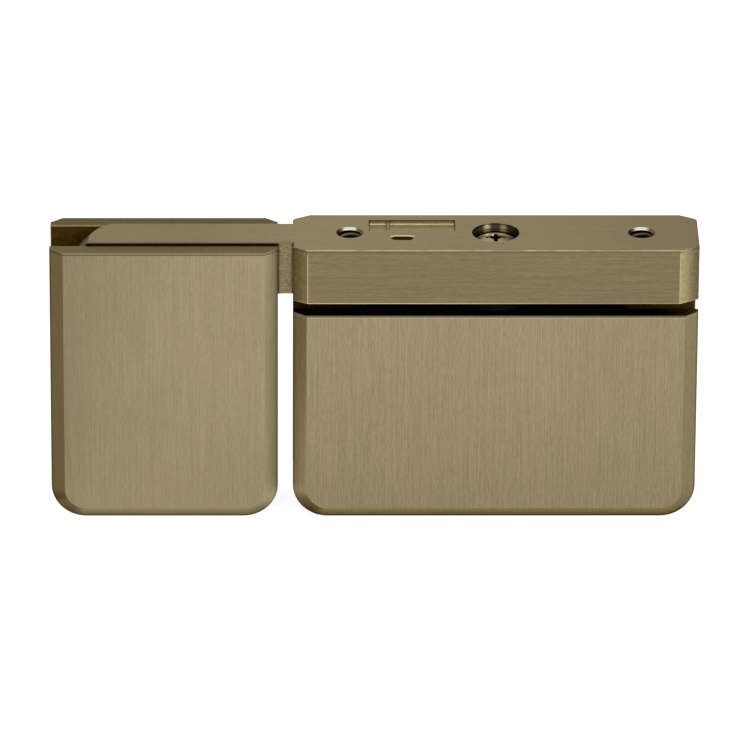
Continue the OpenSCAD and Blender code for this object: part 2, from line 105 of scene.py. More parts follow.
@dataclass
class Graph:
    """A material while it's made: its nodes, and short ways to add what the finishes share.

    Attributes:
        name: the material's name.
        colour: the surface's colour so far.
        rough: its roughness so far.
        material: the material.
        tree: its node tree.
        shader: its Principled shader.
        coordinates: the node that gives the piece's own places and directions.
    """

    name: str
    colour: Value = WHITE
    rough: Value = 1.0
    material: bpy.types.Material = field(init=False)
    tree: bpy.types.NodeTree = field(init=False)
    shader: bpy.types.Node = field(init=False)
    coordinates: bpy.types.Node = field(init=False)

    NOISE_LOW: ClassVar[float] = 0.3
    NOISE_HIGH: ClassVar[float] = 0.7
    EDGE_SAMPLES: ClassVar[int] = 8

    def __post_init__(self) -> None:
        """Makes an empty material with one Principled shader."""
        self.material = bpy.data.materials.new(self.name)
        self.material.use_nodes = True
        self.tree = self.material.node_tree
        self.tree.nodes.clear()
        self.shader = self.node("ShaderNodeBsdfPrincipled")
        self.node("ShaderNodeOutputMaterial", self.shader.outputs["BSDF"])
        self.coordinates = self.node("ShaderNodeTexCoord")

    def put(self, socket: Socket, value: Value) -> None:
        """Links a socket to another one, or sets it.

        Args:
            socket: the socket that is fed.
            value: what feeds it.
        """
        if isinstance(value, Socket):
            self.tree.links.new(value, socket)
        elif socket.type == "RGBA":
            socket.default_value = (*value, 1.0)
        else:
            socket.default_value = value

    def node(self, kind: str, *values: Value) -> bpy.types.Node:
        """Adds a node.

        Args:
            kind: the node's type.
            values: what feeds its first sockets, in their order.

        Returns:
            The node.
        """
        added = self.tree.nodes.new(kind)
        for socket, value in zip(added.inputs, values):
            self.put(socket, value)
        return added

    def finish(self, settings: dict[str, Value]) -> bpy.types.Material:
        """Sets the shader's own sockets.

        Args:
            settings: the values beside the colour and the roughness, by the sockets' names.

        Returns:
            The finished material.
        """
        for name, value in {"Base Color": self.colour, "Roughness": self.rough, **settings}.items():
            self.put(self.shader.inputs[name], value)
        return self.material

    def math(self, operation: str, a: Value, b: Value = 0.0) -> Socket:
        """Adds a Math node.

        Args:
            operation: the node's operation.
            a: first value.
            b: second value.

        Returns:
            The result's socket.
        """
        node = self.node("ShaderNodeMath", a, b)
        node.operation = operation
        return node.outputs[0]

    def times(self, *values: Value) -> Socket:
        """Multiplies values together."""
        return reduce(lambda a, b: self.math("MULTIPLY", a, b), values)

    def apart(self, a: Value, b: Value) -> Socket:
        """How far two values lie apart."""
        return self.math("ABSOLUTE", self.math("SUBTRACT", a, b))

    def reach(self, a: Value, b: Value) -> Socket:
        """Length of a step of a to one side and b to the other."""
        squares = self.math("ADD", self.math("POWER", a, 2.0), self.math("POWER", b, 2.0))
        return self.math("SQRT", squares)

    def ramp(self, value: Value, low: float, high: float, start: float = 0.0,
             end: float = 1.0) -> Socket:
        """Maps a value smoothly from one span to another.

        Args:
            value: the value that is mapped.
            low: where the span begins.
            high: where the span ends.
            start: the result at low.
            end: the result at high.

        Returns:
            The result's socket.
        """
        node = self.node("ShaderNodeMapRange", value, low, high, start, end)
        node.interpolation_type = "SMOOTHSTEP"
        return node.outputs["Result"]

    def fall(self, value: Value, low: float, high: float) -> Socket:
        """A share that falls smoothly from 1 to 0 over a span."""
        return self.ramp(value, low, high, 1.0, 0.0)

    def swing(self, noise: Socket, start: float, end: float) -> Socket:
        """Maps the usual span of noise to another."""
        return self.ramp(noise, self.NOISE_LOW, self.NOISE_HIGH, start, end)

    def part(self, name: str, axis: Axis) -> Socket:
        """One part of the coordinates of a name."""
        return self.node("ShaderNodeSeparateXYZ", self.coordinates.outputs[name]).outputs[axis.value]

    def facing(self, axis: Axis) -> Socket:
        """One part of the surface's direction, in the piece's own axes."""
        return self.part("Normal", axis)

    def slope(self, axis: Axis) -> Socket:
        """The same part of the surface's direction without its sign."""
        return self.math("ABSOLUTE", self.facing(axis))

    def upright(self) -> Socket:
        """A share that is 1 on upright faces and 0 on level ones."""
        return self.fall(self.slope(Axis.Z), 0.3, 0.5)

    def place(self, axis: Axis) -> Socket:
        """One part of the point's place, in metres."""
        return self.part("Object", axis)

    def aside(self, axis: Axis) -> Socket:
        """How far the point lies from the bar's middle on either side, in metres."""
        return self.math("ABSOLUTE", self.place(axis))

    def depth(self) -> Socket:
        """Depth below the mounting face, in metres."""
        return self.times(self.place(Axis.Z), -1.0)

    def noise(self, scale: Union[float, Triple], detail: float, seed: float,
              turn: float = 0.0) -> Socket:
        """Adds noise that is drawn out along the axes with the smaller scales.

        Args:
            scale: features per metre, one number or one along each axis.
            detail: octaves of finer noise.
            seed: shift of the pattern.
            turn: how far the pattern is turned about Y, in degrees.

        Returns:
            A socket of values about 0.5.
        """
        turned = self.node("ShaderNodeMapping", self.coordinates.outputs["Object"])
        turned.inputs["Rotation"].default_value = (0.0, math.radians(turn), 0.0)
        shift = (seed, seed * 0.7, seed * 1.3)
        mapping = self.node("ShaderNodeMapping", turned.outputs["Vector"], shift)
        mapping.inputs["Scale"].default_value = scale if isinstance(scale, tuple) else (scale,) * 3
        node = self.node("ShaderNodeTexNoise", mapping.outputs["Vector"])
        node.inputs["Scale"].default_value = 1.0
        node.inputs["Detail"].default_value = detail
        return node.outputs["Fac"]

    def blend(self, share: Value, a: Value, b: Value) -> Socket:
        """Mixes two numbers.

        Args:
            share: how much of the second number.
            a: first value.
            b: second value.

        Returns:
            The mixed number's socket.
        """
        node = self.node("ShaderNodeMix")
        node.data_type = "FLOAT"
        for name, value in (("Factor", share), ("A", a), ("B", b)):
            self.put(node.inputs[name], value)
        return node.outputs["Result"]

    def tint(self, share: Value, a: Value, b: Value, mode: str = "MIX") -> Socket:
        """Mixes two colours.

        Args:
            share: how much of the second colour.
            a: first colour.
            b: second colour.
            mode: the way they mix.

        Returns:
            The mixed colour's socket.
        """
        node = self.node("ShaderNodeMix", share)
        node.data_type = "RGBA"
        node.blend_type = mode
        for socket, colour in zip((s for s in node.inputs if s.type == "RGBA"), (a, b)):
            self.put(socket, colour)
        return next(s for s in node.outputs if s.type == "RGBA")

    def filtered(self, colour: Value, other: Value) -> Socket:
        """Multiplies two colours."""
        return self.tint(1.0, colour, other, "MULTIPLY")

    def shaded(self, colour: Value, tone: Value) -> Socket:
        """Makes a colour lighter or darker, by a tone that multiplies it."""
        return self.filtered(colour, self.node("ShaderNodeCombineColor", tone, tone, tone).outputs[0])

    def sharp_edges(self, radius: float, gain: float) -> Socket:
        """Finds the sharp edges of a piece.

        Args:
            radius: how far the mask reaches from an edge, in metres.
            gain: how fast it comes up.

        Returns:
            A socket that is 0 on flat faces and up to 1 on edges.
        """
        rounded = self.node("ShaderNodeBevel", radius)
        rounded.samples = self.EDGE_SAMPLES
        flat = self.node("ShaderNodeNewGeometry")
        turned = self.node("ShaderNodeVectorMath", rounded.outputs["Normal"], flat.outputs["Normal"])
        turned.operation = "DISTANCE"
        return self.math("MINIMUM", self.times(turned.outputs["Value"], gain), 1.0)

    def line_at(self, value: Value, middle: float, half: float) -> Socket:
        """A share that is 1 along a thin line, by its middle and half its thickness."""
        return self.fall(self.apart(value, middle), 0.7 * half, 1.3 * half)

    def bump(self, height: Socket, depth: float, strength: float) -> None:
        """Tilts the surface by a pattern, without moving it.

        Args:
            height: the pattern.
            depth: how far it rises, in metres.
            strength: how much of the tilt is kept.
        """
        node = self.node("ShaderNodeBump", strength, depth)
        self.put(node.inputs["Height"], height)
        self.put(self.shader.inputs["Normal"], node.outputs["Normal"])

    def lay(self, share: Value, colour: Value) -> None:
        """Lays a colour over a share of the surface."""
        self.colour = self.tint(share, self.colour, colour)

    def shade(self, share: Value, tone: Value) -> None:
        """Makes a share of the surface lighter or darker."""
        self.lay(share, self.shaded(self.colour, tone))

    def smooth(self, share: Value, rough: float) -> None:
        """Gives a share of the surface another roughness."""
        self.rough = self.blend(share, self.rough, rough)


# ---- Finishes ----


@dataclass(frozen=True)
class Bore:
    """A round hole in the bar's mounting face.

    Attributes:
        centre: its place along the bar, in metres.
        radius: its radius.
        mouth: the radius of its bevelled mouth.
    """

    centre: float
    radius: float
    mouth: float

    def inside(self, graph: Graph, radius: float) -> Socket:
        """A share that is 1 within a radius of the hole's axis."""
        away = graph.reach(graph.apart(graph.place(Axis.X), self.centre), graph.place(Axis.Y))
        return graph.fall(away, radius + 0.03 * MM, radius + 0.08 * MM)


@dataclass(frozen=True)
class SatinBrass:
    """Brushed, dark brass under satin lacquer, with raw metal where the castings aren't seen, and
    painted light and shade by the way each face points.

    Attributes:
        name: the material's name.
        colour: the brushed faces' colour.
        face_grain: the way that upright faces are brushed.
        face: painted tone of the broad upright faces, as a share of the colour in red, green and blue.
        left: the same painted light and shade on the bevels and ends on the left.
        right: the same on the bevels and ends on the right.
        foot: the same on the bevels that face down.
        top: the same on the faces that point up or down.
        edge: the same on the narrow breaks on the upper edges.
        top_grain: the way that the faces that point up or down are brushed.
        depth: how far the brush marks vary the tone of upright faces.
        painted_rim_line: how much lighter the line along the upright faces' top rims is, as a painted
            highlight, or darker below 0, as painted shade under the edge.
        rim_level: the level of that line, in metres.
        speckle: how far the tone of the bevels and ends varies.
        edge_wear_and_highlight: how much lighter the other sharp edges are: partly rubbed, partly
            painted highlight where they catch the light.
        bevel: how far from the middle the plates' bevels begin and end, in metres, or 0.
        raw_half: half the width of the slot whose walls are left raw, in metres, or 0.
        raw_foot: leaves the faces that point down raw, and painted dark as shade.
        glance: how much of the gloss is left at a flat angle.
    """

    name: str
    colour: Colour = (0.30, 0.245, 0.141)
    face_grain: Axis = Axis.Z
    face: Colour = WHITE
    left: Colour = WHITE
    right: Colour = WHITE
    foot: Colour = WHITE
    top: Colour = WHITE
    edge: Colour = WHITE
    top_grain: Axis = Axis.X
    depth: float = 0.14
    painted_rim_line: float = 0.0
    rim_level: float = 0.0
    speckle: float = 0.0
    edge_wear_and_highlight: float = 0.3
    bevel: Span = (0.0, 0.0)
    raw_half: float = 0.0
    raw_foot: bool = False
    glance: Colour = (0.80, 0.70, 0.50)

    # Scales of the patterns, in features per metre
    FINE: ClassVar[float] = 5600.0
    LONG: ClassVar[float] = 60.0
    SHORT: ClassVar[float] = 600.0
    PATCHES: ClassVar[float] = 45.0
    GRIT: ClassVar[float] = 1500.0
    CAST: ClassVar[float] = 1900.0
    # How far a face leans as it comes to count as the front, as level, as a foot or as a break
    FRONT: ClassVar[Span] = (0.90, 0.96)
    LEVEL: ClassVar[Span] = (0.75, 0.95)
    DOWN: ClassVar[Span] = (-0.6, -0.3)
    BREAK: ClassVar[Span] = (0.5, 0.6)
    TOP_DEPTH: ClassVar[float] = 0.08
    BRUSH_DEPTH: ClassVar[float] = 0.012 * MM
    ROUGH: ClassVar[Span] = (0.44, 0.38)
    RAW: ClassVar[Colour] = (0.078, 0.041, 0.0062)
    RAW_ROUGH: ClassVar[float] = 0.68
    EDGE_WEAR_AND_LIGHT_REACH: ClassVar[float] = 25 * MM
    EDGE_WEAR_AND_LIGHT_TONES: ClassVar[Span] = (1.7, 0.5)

    def streaks(self, graph: Graph, along: Axis, seed: float) -> Socket:
        """Brush marks along one axis: long ones and short ones, equally fine.

        Args:
            graph: the material's nodes.
            along: the axis.
            seed: shift of the pattern.

        Returns:
            A socket of values about 0.5.
        """
        runs = graph.noise(drawn(self.FINE, self.LONG, along), 1.0, seed)
        dashes = graph.noise(drawn(self.FINE, self.SHORT, along), 1.0, seed + 5.0)
        return graph.blend(0.5, runs, dashes)

    def scratches(self, graph: Graph, along: Axis, seed: float) -> Socket:
        """Sparse, crisp scratches along one axis: 0 where there is none."""
        noise = graph.noise(drawn(1.5 * self.FINE, self.SHORT, along), 1.0, seed)
        return graph.ramp(noise, 0.62, 0.74)

    def painted_face_tones(self, graph: Graph, level: Socket) -> Socket:
        """The painted light and shade of each kind of face, by the way it points.

        Args:
            graph: the material's nodes.
            level: 1 on the faces that point up or down.

        Returns:
            A socket that multiplies the colour.
        """
        front = graph.ramp(graph.slope(Axis.Y), *self.FRONT)
        rise = graph.facing(Axis.Z)
        grit = graph.swing(graph.noise(self.GRIT, 2.0, 17.0), 1.0 - self.speckle, 1.0 + self.speckle)
        side = graph.tint(graph.ramp(graph.facing(Axis.X), -0.1, 0.1), self.left, self.right)
        side = graph.shaded(side, grit)
        foot: Value = self.foot
        start, end = self.bevel
        # Painted shade on the plates' bevels: a dark outline along their outer edges, a bevel foot
        # that lightens towards the face, and darker corners where the bevels turn down.
        if end > 0:
            out = graph.aside(Axis.Y)
            outline = start + 0.05 * MM
            side = graph.shaded(side, graph.ramp(out, outline, start + 0.5 * MM, 0.5, 1.0))
            foot = graph.shaded(foot, graph.ramp(out, start, end, 0.62, 1.2))
            foot = graph.shaded(foot, graph.ramp(out, outline, start + 0.7 * MM, 0.15, 1.0))
            turned = graph.ramp(graph.times(graph.facing(Axis.X), rise), 0.04, 0.2, 1.0, 0.45)
            side, foot = graph.shaded(side, turned), graph.shaded(foot, turned)
        # Each kind of face gets its painted light or shade: front, sides, foot, breaks and tops.
        colour = graph.tint(front, side, self.face)
        colour = graph.tint(graph.fall(rise, *self.DOWN), colour, foot)
        colour = graph.tint(graph.ramp(rise, *self.BREAK), colour, self.edge)
        return graph.tint(level, colour, self.top)

    def brushed(self, graph: Graph, level: Socket, grain: Socket) -> Socket:
        """The colour of the brushed faces, with their streaks, scratches and patches, a painted line
        along their top edges, and painted light and shade by the way each face points.

        Args:
            graph: the material's nodes.
            level: 1 on the faces that point up or down.
            grain: the brush marks.

        Returns:
            The colour's socket.
        """
        depth = graph.blend(level, self.depth, self.TOP_DEPTH)
        patches = graph.swing(graph.noise(self.PATCHES, 3.0, 3.0), -0.02, 0.02)
        tone = graph.math("ADD", 1.0, graph.times(graph.swing(grain, -1.0, 1.0), depth))
        tone = graph.math("ADD", tone, patches)
        upright_marks = self.scratches(graph, self.face_grain, 4.0)
        marks = graph.blend(level, upright_marks, self.scratches(graph, self.top_grain, 7.0))
        # A painted line along the upright faces' top edges: lighter as a painted highlight, darker as
        # painted shade under the edge.
        line = graph.line_at(graph.place(Axis.Z), self.rim_level, 0.13 * MM)
        painted_rim_line = graph.math("ADD", 1.0, graph.times(line, graph.upright(), self.painted_rim_line))
        tone = graph.times(tone, graph.ramp(marks, 0.0, 1.0, 1.0, 0.92), painted_rim_line)
        return graph.filtered(graph.shaded(self.colour, tone), self.painted_face_tones(graph, level))

    def rub_and_highlight_edges(self, graph: Graph) -> None:
        """Lightens the upper edges, more on the left than on the right: partly rubbed metal, partly
        painted highlight where the edges catch the light.

        Args:
            graph: the surface so far.
        """
        edge_wear_and_highlight = graph.times(
            graph.sharp_edges(0.2 * MM, 4.0), self.edge_wear_and_highlight,
            graph.fall(graph.place(Axis.Z), -1.2 * MM, -0.8 * MM),
            graph.ramp(graph.place(Axis.X), -self.EDGE_WEAR_AND_LIGHT_REACH, self.EDGE_WEAR_AND_LIGHT_REACH, *self.EDGE_WEAR_AND_LIGHT_TONES),
        )
        graph.lay(edge_wear_and_highlight, scaled(self.colour, 3.0))

    def raw_share(self, graph: Graph) -> Optional[Socket]:
        """Finds where the metal is raw.

        Args:
            graph: the material's nodes.

        Returns:
            The share's socket, or None where it's all brushed.
        """
        share: Optional[Socket] = None
        if self.raw_half > 0:
            across = graph.aside(Axis.Y)
            share = graph.fall(across, self.raw_half + 0.02 * MM, self.raw_half + 0.06 * MM)
        if self.raw_foot:
            down = graph.fall(graph.facing(Axis.Z), -0.9, -0.8)
            share = down if share is None else graph.math("MAXIMUM", share, down)
        return share

    def leave_raw_and_shade_gaps(self, graph: Graph, grain: Socket) -> Socket:
        """Leaves the hidden faces as they were cast, with painted shade where they point up or down.

        Args:
            graph: the surface so far.
            grain: the brush marks.

        Returns:
            The pattern that tilts the surface, brushed or cast.
        """
        raw = self.raw_share(graph)
        if raw is None:
            return grain
        # Raw cast metal, dark brown, on the faces hidden between the plates and under the bar: partly
        # the casting's own colour, partly painted shade.
        cast = graph.noise(self.CAST, 3.0, 2.0)
        colour = graph.tint(graph.ramp(cast, 0.4, 0.7), self.RAW, scaled(self.RAW, 1.7))
        # Painted shade: raw faces that point up or down are made ten times darker, so the gaps between
        # the parts look dark.
        graph.lay(raw, graph.shaded(colour, graph.ramp(graph.slope(Axis.Z), 0.8, 0.9, 1.0, 0.1)))
        graph.smooth(raw, self.RAW_ROUGH)
        return graph.blend(raw, grain, cast)

    def dress(self, graph: Graph) -> None:
        """Lets a kind of brass add its own places."""

    def build(self) -> bpy.types.Material:
        """Makes the material.

        Returns:
            The material, which reads the piece's own coordinates and directions.
        """
        graph = Graph(self.name)
        level = graph.ramp(graph.slope(Axis.Z), *self.LEVEL)
        grain = graph.blend(
            level, self.streaks(graph, self.face_grain, 1.0), self.streaks(graph, self.top_grain, 9.0)
        )
        graph.colour = self.brushed(graph, level, grain)
        graph.rough = graph.swing(grain, *self.ROUGH)
        self.rub_and_highlight_edges(graph)
        height = self.leave_raw_and_shade_gaps(graph, grain)
        self.dress(graph)
        graph.bump(height, self.BRUSH_DEPTH, 0.35)
        return graph.finish({"Metallic": 1.0, "Specular Tint": self.glance})


@dataclass(frozen=True)
class BarBrass(SatinBrass):
    """The bar's brass, with its machined holes, the rough end of its arm, and painted light and shade
    in its recess, slot, holes, counterbore and chamfers.

    Attributes:
        threaded: the two threaded mounting holes.
        counterbore: the pivot screw's counterbore.
        corner_len: length of the corner chamfers, along the bar, in metres.
        arm_end: where the arm begins along the bar, in metres.
        clamp_end: where the panel clamp ends on the arm, in metres.
    """

    threaded: tuple[Bore, ...] = ()
    counterbore: Bore = Bore(0.0, 5.2 * MM, 5.2 * MM)
    corner_len: float = 4.3 * MM
    arm_end: float = 0.0
    clamp_end: float = 0.0

    RECESS_MIDDLE: ClassVar[float] = -18.3 * MM
    RECESS_HALF: ClassVar[float] = 9.5 * MM
    RIB_LEFT: ClassVar[float] = 5.3 * MM
    SLOT_MIDDLE: ClassVar[Span] = (-20.5 * MM, -3.05 * MM)
    SLOT_HALF: ClassVar[float] = 1.4 * MM
    SLOT_R: ClassVar[float] = 1.05 * MM
    BRIGHT: ClassVar[Colour] = (1.0, 0.95, 0.82)
    MOUTH_SHADE: ClassVar[Colour] = (0.16, 0.11, 0.04)
    GLINT: ClassVar[Colour] = (0.56, 0.49, 0.36)
    LIP_GLINT: ClassVar[Colour] = (1.0, 0.90, 0.66)
    # Dark turned metal: its colour is partly painted shade, inside the counterbore and along the
    # recess's edges.
    TURNED_METAL_IN_SHADE: ClassVar[Colour] = (0.105, 0.088, 0.046)
    FRONT_WALL_SHADE: ClassVar[Colour] = (0.85, 0.58, 0.04)
    WALL_LIGHT_AND_SHADE_BANDS: ClassVar[tuple[Colour, ...]] = (
        (0.34, 0.34, 0.20), (1.25, 1.42, 1.75), (2.1, 2.65, 4.5),
    )
    FLOOR_PAINTED_LIGHT: ClassVar[float] = 1.22
    RING_DEPTH: ClassVar[float] = 0.22 * MM
    MOUTH_ROUGH: ClassVar[float] = 0.22
    TURNING: ClassVar[Triple] = (90.0, 90.0, 5200.0)
    TURNED_ROUGH: ClassVar[float] = 0.3
    DARK_RING_DEPTH: ClassVar[float] = 1.43 * MM
    STREAK_HIGHLIGHT_TONES: ClassVar[Span] = (3.8, 0.62)
    LEFT_CHAMFER_LIGHT: ClassVar[Span] = (1.5, 0.76)
    RIGHT_CHAMFER_LIGHT: ClassVar[Span] = (1.65, 0.57)
    HATCH: ClassVar[Triple] = (4600.0, 4600.0, 1700.0)
    HATCH_TONES: ClassVar[Span] = (0.86, 1.42)
    SHADOW: ClassVar[float] = 0.12

    def dress(self, graph: Graph) -> None:
        """Adds the sunk marks' walls, the holes' machined metal and the arm's rough front, with their
        painted light and shade.

        Args:
            graph: the surface so far.
        """
        for step in (self.paint_recess_light_and_shade, self.glint_slot_lip, self.thread_mouths, self.turn_counterbore,
                     self.glint_breaks, self.paint_corner_light, self.dress_arm):
            step(graph)

    def paint_recess_light_and_shade(self, graph: Graph) -> None:
        """Paints light and shade on the walls, the floor and the inner edges of the marking recess.

        Args:
            graph: the surface so far.
        """
        depth = graph.depth()
        wall = graph.upright()
        along = graph.math("SUBTRACT", graph.place(Axis.X), self.RECESS_MIDDLE)
        inner = graph.math("ABSOLUTE", along)
        near = graph.times(
            graph.fall(inner, self.RECESS_HALF + 0.05 * MM, self.RECESS_HALF + 0.1 * MM),
            graph.fall(graph.aside(Axis.Y), 7.0 * MM, 7.2 * MM),
            graph.fall(depth, 1.35 * MM, 1.45 * MM),
        )
        behind = graph.ramp(graph.place(Axis.Y), 0.0, 0.1 * MM)
        # Painted bands down the rear walls: shade under the top edge, light lower down and a painted
        # highlight at the foot.
        upper, middle, lower = self.WALL_LIGHT_AND_SHADE_BANDS
        lit = graph.tint(graph.ramp(depth, 0.20 * MM, 0.38 * MM), upper, middle)
        lit = graph.tint(graph.ramp(depth, 0.76 * MM, 0.84 * MM), lit, lower)
        # Walls in front get a darker, warmer painted shade instead.
        shade = graph.tint(behind, self.FRONT_WALL_SHADE, lit)
        graph.lay(graph.times(near, wall), graph.filtered(graph.colour, shade))
        deep = graph.ramp(depth, 0.9 * MM, 0.95 * MM)
        floor = graph.times(deep, graph.math("SUBTRACT", 1.0, wall), behind, near)
        # Painted light on the recess floor.
        graph.shade(floor, self.FLOOR_PAINTED_LIGHT)
        # Painted shade lines along the recess's ends and on both sides of its rib.
        ends = graph.ramp(inner, self.RECESS_HALF - 0.28 * MM, self.RECESS_HALF - 0.2 * MM)
        rib = graph.math("ABSOLUTE", graph.math("ADD", along, self.RIB_LEFT))
        ribs = graph.fall(graph.apart(rib, 0.32 * MM), 0.1 * MM, 0.16 * MM)
        low = graph.ramp(depth, 0.3 * MM, 0.5 * MM)
        graph.lay(graph.times(graph.math("MAXIMUM", ends, ribs), low, behind, near, 0.75), self.TURNED_METAL_IN_SHADE)

    def glint_slot_lip(self, graph: Graph) -> None:
        """Paints a highlight on the rear lip of the small slot.

        Args:
            graph: the surface so far.
        """
        along, across = self.SLOT_MIDDLE
        aside = graph.math("SUBTRACT", graph.apart(graph.place(Axis.X), along), self.SLOT_HALF)
        behind = graph.math("SUBTRACT", graph.place(Axis.Y), across)
        away = graph.reach(graph.math("MAXIMUM", aside, 0.0), behind)
        lip = graph.times(
            graph.line_at(away, self.SLOT_R + 0.20 * MM, 0.28 * MM),
            graph.ramp(behind, 0.5 * MM, 1.0 * MM),
            graph.fall(graph.depth(), 0.05 * MM, 0.1 * MM),
        )
        graph.lay(lip, self.LIP_GLINT)

    def thread_mouths(self, graph: Graph) -> None:
        """Makes the threaded holes' mouths bright machined brass, partly painted highlight, with
        painted shade on their sides, and paints the bores' insides dark as shade.

        Args:
            graph: the surface so far.
        """
        rise = graph.facing(Axis.Z)
        bevel = graph.times(graph.ramp(rise, *self.BREAK), graph.fall(rise, 0.8, 0.9))
        rings = graph.line_at(graph.depth(), self.RING_DEPTH, 0.05 * MM)
        machined_and_lit = graph.tint(rings, self.BRIGHT, scaled(self.BRIGHT, 0.72))
        # Bright at the mouths' rear, with painted shade where they turn to the sides.
        bright = graph.tint(graph.ramp(graph.slope(Axis.X), 0.22, 0.5), machined_and_lit, self.MOUTH_SHADE)
        for bore in self.threaded:
            mouth = graph.times(bore.inside(graph, bore.mouth), bevel)
            graph.lay(mouth, bright)
            graph.smooth(mouth, self.MOUTH_ROUGH)
            # Painted shade inside the bores.
            graph.lay(graph.times(bore.inside(graph, bore.radius), graph.upright()), PAINTED_DEEP_SHADE)

    def turn_counterbore(self, graph: Graph) -> None:
        """Gives the counterbore's wall its turned rings, two painted highlight streaks, a darker ring,
        and painted shade below its top edge.

        Args:
            graph: the surface so far.
        """
        depth = graph.depth()
        turned = graph.times(self.counterbore.inside(graph, self.counterbore.radius), graph.upright())
        tone = graph.times(
            graph.swing(graph.noise(self.TURNING, 1.0, 12.0), 0.6, 1.6),
            # Painted highlight: two bright streaks where the wall turns a little to the sides.
            graph.ramp(graph.apart(graph.slope(Axis.X), 0.35), 0.02, 0.22, *self.STREAK_HIGHLIGHT_TONES),
            graph.ramp(graph.apart(depth, self.DARK_RING_DEPTH), 0.1 * MM, 0.25 * MM, 0.3, 1.0),
            # Painted shade just below the counterbore's top edge.
            graph.ramp(depth, 0.25 * MM, 0.5 * MM, 0.35, 1.0),
        )
        graph.lay(turned, graph.shaded(self.TURNED_METAL_IN_SHADE, tone))
        graph.smooth(turned, self.TURNED_ROUGH)

    def glint_breaks(self, graph: Graph) -> None:
        """Paints a highlight on the upper half of the front breaks, stronger in some places than
        others.

        Args:
            graph: the surface so far.
        """
        share = graph.times(
            graph.line_at(graph.facing(Axis.Z), 0.71, 0.12),
            graph.fall(graph.facing(Axis.Y), -0.4, -0.2),
            graph.ramp(graph.place(Axis.Z), -0.2 * MM, -0.12 * MM),
            graph.fall(graph.place(Axis.Y), -5.2 * MM, -5.0 * MM),
            graph.ramp(graph.noise(260.0, 2.0, 23.0), 0.35, 0.65, 0.35, 1.0),
        )
        graph.lay(share, self.GLINT)

    def paint_corner_light(self, graph: Graph) -> None:
        """Paints light on the corner chamfers, fading towards the bar's ends, with a painted shadow
        line at the left end.

        Args:
            graph: the surface so far.
        """
        end = -self.arm_end
        out = graph.aside(Axis.X)
        left = graph.times(
            graph.ramp(out, end - self.corner_len, end, *self.LEFT_CHAMFER_LIGHT),
            graph.ramp(out, end - 0.35 * MM, end - 0.1 * MM, 1.0, 0.25),
        )
        right = graph.ramp(out, end - self.corner_len, end, *self.RIGHT_CHAMFER_LIGHT)
        tone = graph.blend(graph.ramp(graph.place(Axis.X), -1.0 * MM, 1.0 * MM), left, right)
        share = graph.times(
            graph.fall(graph.slope(Axis.Y), *self.FRONT), graph.upright(),
            graph.ramp(out, end - 1.1 * self.corner_len, end - 1.05 * self.corner_len),
        )
        graph.shade(share, tone)

    def dress_arm(self, graph: Graph) -> None:
        """Hatches the arm's bare front, with painted shade towards its left end and a painted shadow
        line at its root, and paints it dark as shade inside the clamp.

        Args:
            graph: the surface so far.
        """
        along = graph.place(Axis.X)
        # Painted shade, deeper towards the arm's left end.
        graph.shade(1.0, graph.ramp(along, 1.5 * self.arm_end, 0.9 * self.arm_end, 0.88, 1.0))
        up, down = graph.noise(self.HATCH, 1.0, 14.0, 40.0), graph.noise(self.HATCH, 1.0, 15.0, -50.0)
        hatch = graph.math("MAXIMUM", up, down)
        # A painted shadow line where the arm meets the bar.
        root = graph.ramp(along, self.arm_end - 0.35 * MM, self.arm_end - 0.15 * MM, 1.0, self.SHADOW)
        tone = graph.times(graph.ramp(hatch, 0.42, 0.7, *self.HATCH_TONES), root)
        bare = graph.ramp(along, self.clamp_end - 0.1 * MM, self.clamp_end + 0.5 * MM)
        arm = graph.fall(along, self.arm_end - 0.05 * MM, self.arm_end)
        graph.shade(graph.times(arm, graph.upright()), graph.blend(bare, self.SHADOW, tone))


@dataclass(frozen=True)
class DoorBrass(SatinBrass):
    """The door clamp's brass, whose upper edge is painted dark as shade under the bar, with painted
    light at its free end.

    Attributes:
        end: where the clamp ends along the bar, in metres.
    """

    end: float = 0.0

    PAINTED_END_LIGHT: ClassVar[Colour] = (0.32, 0.21, 0.07)

    def dress(self, graph: Graph) -> None:
        """Paints light on the top faces near the free end, where light reaches into the gap under the
        bar.

        Args:
            graph: the surface so far.
        """
        near = graph.ramp(graph.place(Axis.X), self.end - 9 * MM, self.end + 2 * MM)
        graph.lay(graph.times(near, graph.ramp(graph.facing(Axis.Z), 0.8, 0.9)), self.PAINTED_END_LIGHT)


@dataclass(frozen=True)
class ScrewBrass(SatinBrass):
    """The pivot screw's brass, with painted light on its head's rear and painted shade inside its
    cross recess.

    Attributes:
        crown: level of the head's crown, in metres.
        head_r: the head's radius.
        rise: rise of the head's dome.
        cross_r: reach of the cross recess.
    """

    crown: float = 0.0
    head_r: float = 4.5 * MM
    rise: float = 1.17 * MM
    cross_r: float = 2.6 * MM

    def dress(self, graph: Graph) -> None:
        """Paints light on the head's rear and shade on what lies below the dome, inside the cross.

        Args:
            graph: the surface so far.
        """
        away = graph.reach(graph.place(Axis.X), graph.place(Axis.Y))
        out = graph.math("DIVIDE", away, self.head_r)
        fall = graph.times(graph.math("POWER", out, 2.0), self.rise)
        under = graph.math("SUBTRACT", self.crown, graph.math("ADD", graph.place(Axis.Z), fall))
        deep = graph.times(
            graph.ramp(under, 0.06 * MM, 0.2 * MM), graph.fall(away, self.cross_r, 1.1 * self.cross_r)
        )
        graph.shade(1.0, graph.ramp(graph.place(Axis.Y), 0.8 * MM, 3.2 * MM, 1.0, 5.5))
        graph.lay(deep, PAINTED_DEEP_SHADE)


